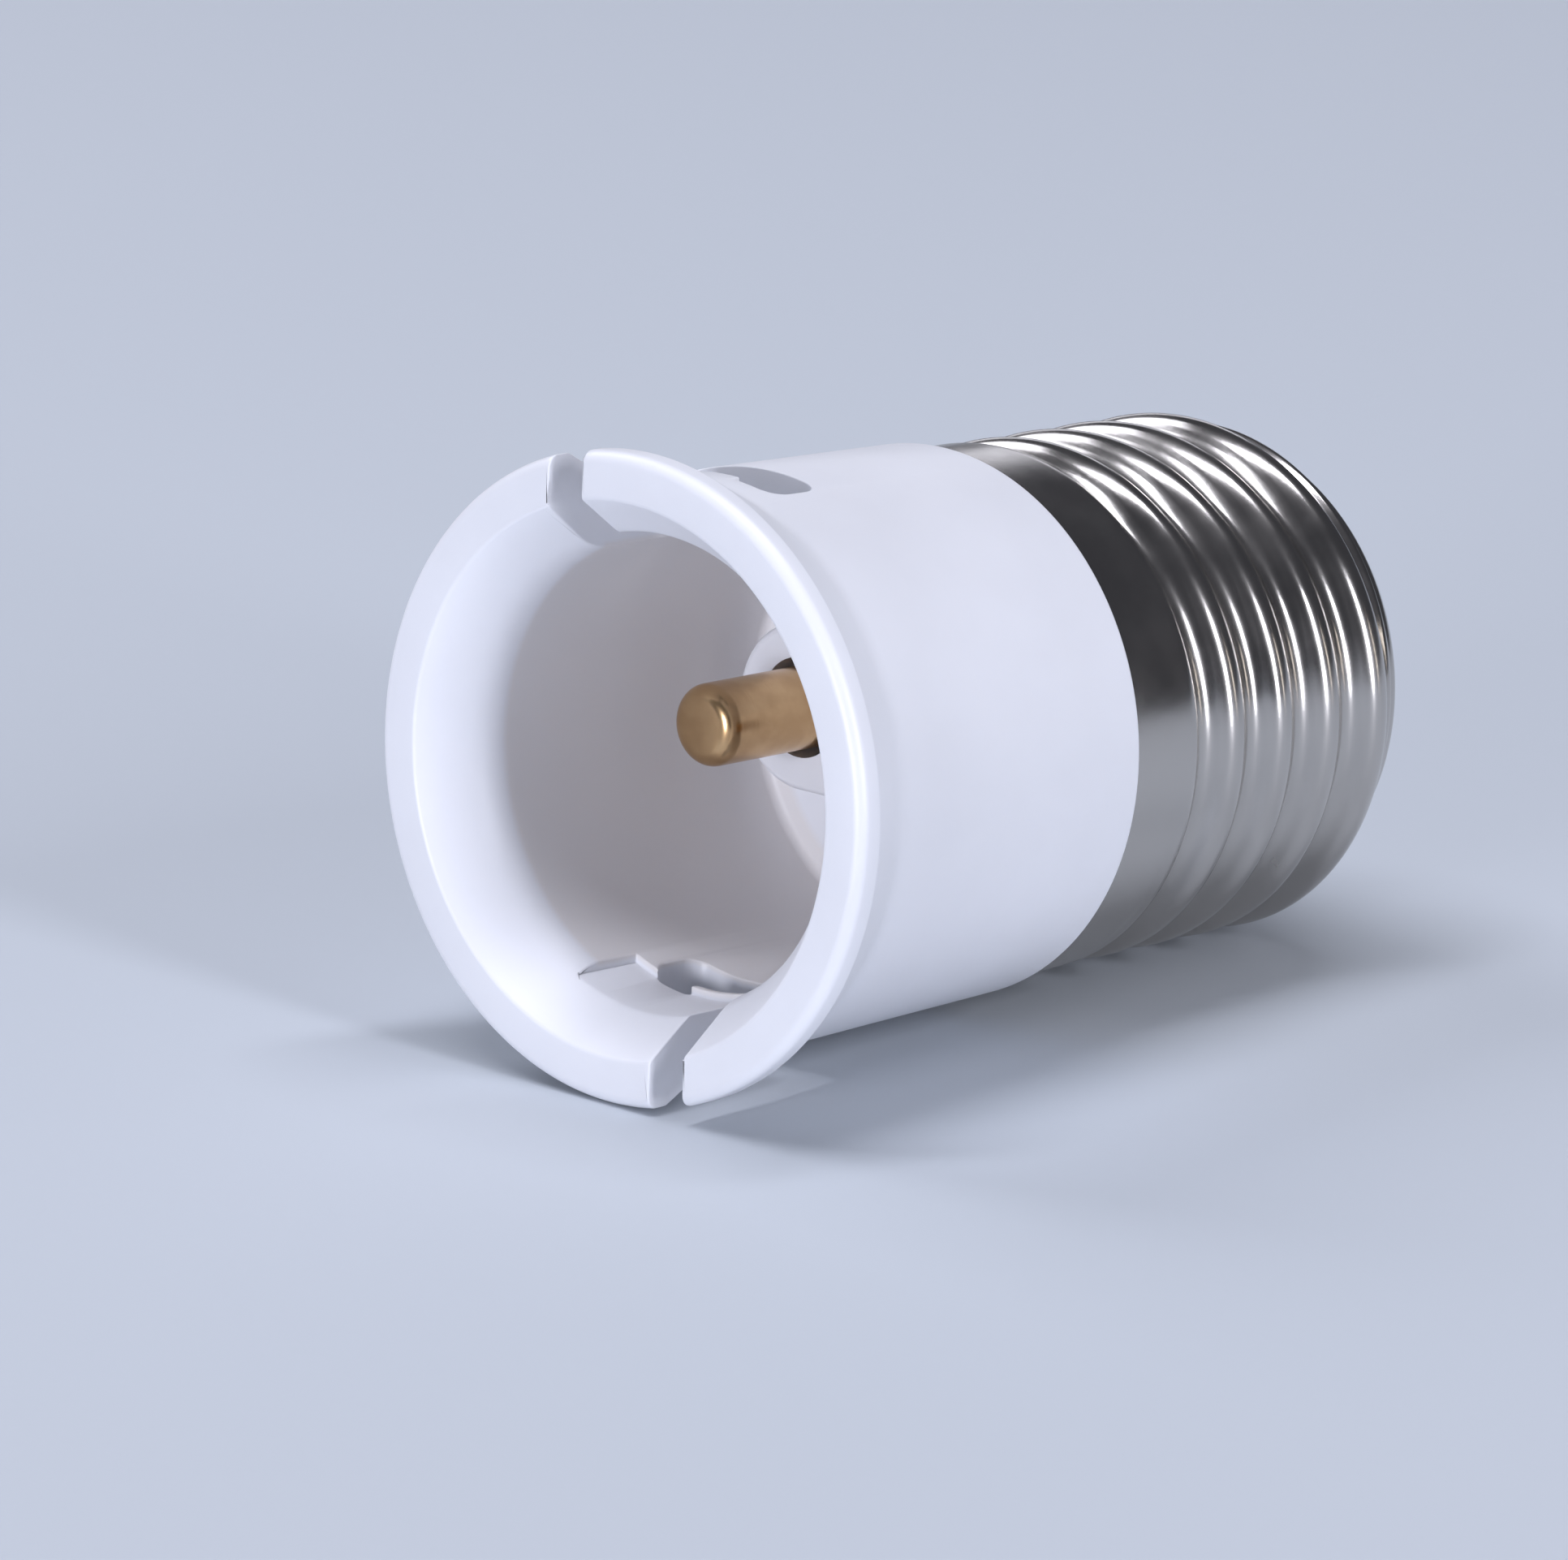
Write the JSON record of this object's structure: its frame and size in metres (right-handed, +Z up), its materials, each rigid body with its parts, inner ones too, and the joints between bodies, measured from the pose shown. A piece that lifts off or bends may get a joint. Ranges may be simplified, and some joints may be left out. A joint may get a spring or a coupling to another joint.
{
  "type": "lamp socket adapter",
  "caption": "Adapter that screws into a 27 mm Edison lampholder and holds a 22 mm two-pin bayonet lamp, with sprung brass contacts in a flared white body.",
  "frame": {"origin": "centre of the base of the bounding box, on the table that the adapter lies on", "axes": "+X from the mouth to the screw shell's end along the adapter's length, +Y to the left of someone looking into the mouth, +Z up; the adapter's own axis leans 3.62 degrees down towards +X, because it rests on its wide rim and its last thread crest"},
  "size_m": [0.0496, 0.0315, 0.0315],
  "materials": {
    "white_pbt": "white PBT moulding, satin",
    "nickel_plate": "bright nickel plate on formed sheet",
    "turned_brass": "turned brass",
    "spring_steel": "drawn spring wire",
    "terminal_brass": "pressed brass sheet",
    "carrier_moulding": "brown phenolic moulding",
    "screw_zinc": "zinc-plated steel",
    "tip_insulator": "black thermoset insulator",
    "contact_nickel": "nickel-plated brass rivet",
    "tinned_copper": "tinned copper wire",
    "sleeving": "woven glass sleeving",
    "solder": "soft solder, dull"
  },
  "bodies": {
    "adapter": {"housing": "white_pbt", "screw_shell": "nickel_plate", "end_insulator": "tip_insulator", "centre_contact": "contact_nickel", "contact_washer": "terminal_brass", "contact_carrier": "carrier_moulding", "spring_left": "spring_steel", "terminal_left": "terminal_brass", "spring_right": "spring_steel", "terminal_right": "terminal_brass", "carrier_screw_top": "screw_zinc", "carrier_screw_bottom": "screw_zinc", "live_wire": "tinned_copper", "live_sleeve": "sleeving", "neutral_wire": "tinned_copper", "neutral_sleeve": "sleeving", "solder_live_tag": "solder", "solder_neutral_tag": "solder", "solder_centre": "solder", "solder_shell": "solder"},
    "plunger_left": {"plunger_left": "turned_brass"},
    "plunger_right": {"plunger_right": "turned_brass"}
  },
  "joints": [
    {"name": "plunger_left_press", "type": "slide", "parent": "adapter", "child": "plunger_left", "axis": [0.998, 0, -0.0631], "range_m": [0, 0.004], "stiffness_N_per_m": 544, "springref_m": -0.003, "deforming": ["spring_left"]},
    {"name": "plunger_right_press", "type": "slide", "parent": "adapter", "child": "plunger_right", "axis": [0.998, 0, -0.0631], "range_m": [0, 0.004], "stiffness_N_per_m": 544, "springref_m": -0.003, "deforming": ["spring_right"]}
  ]
}
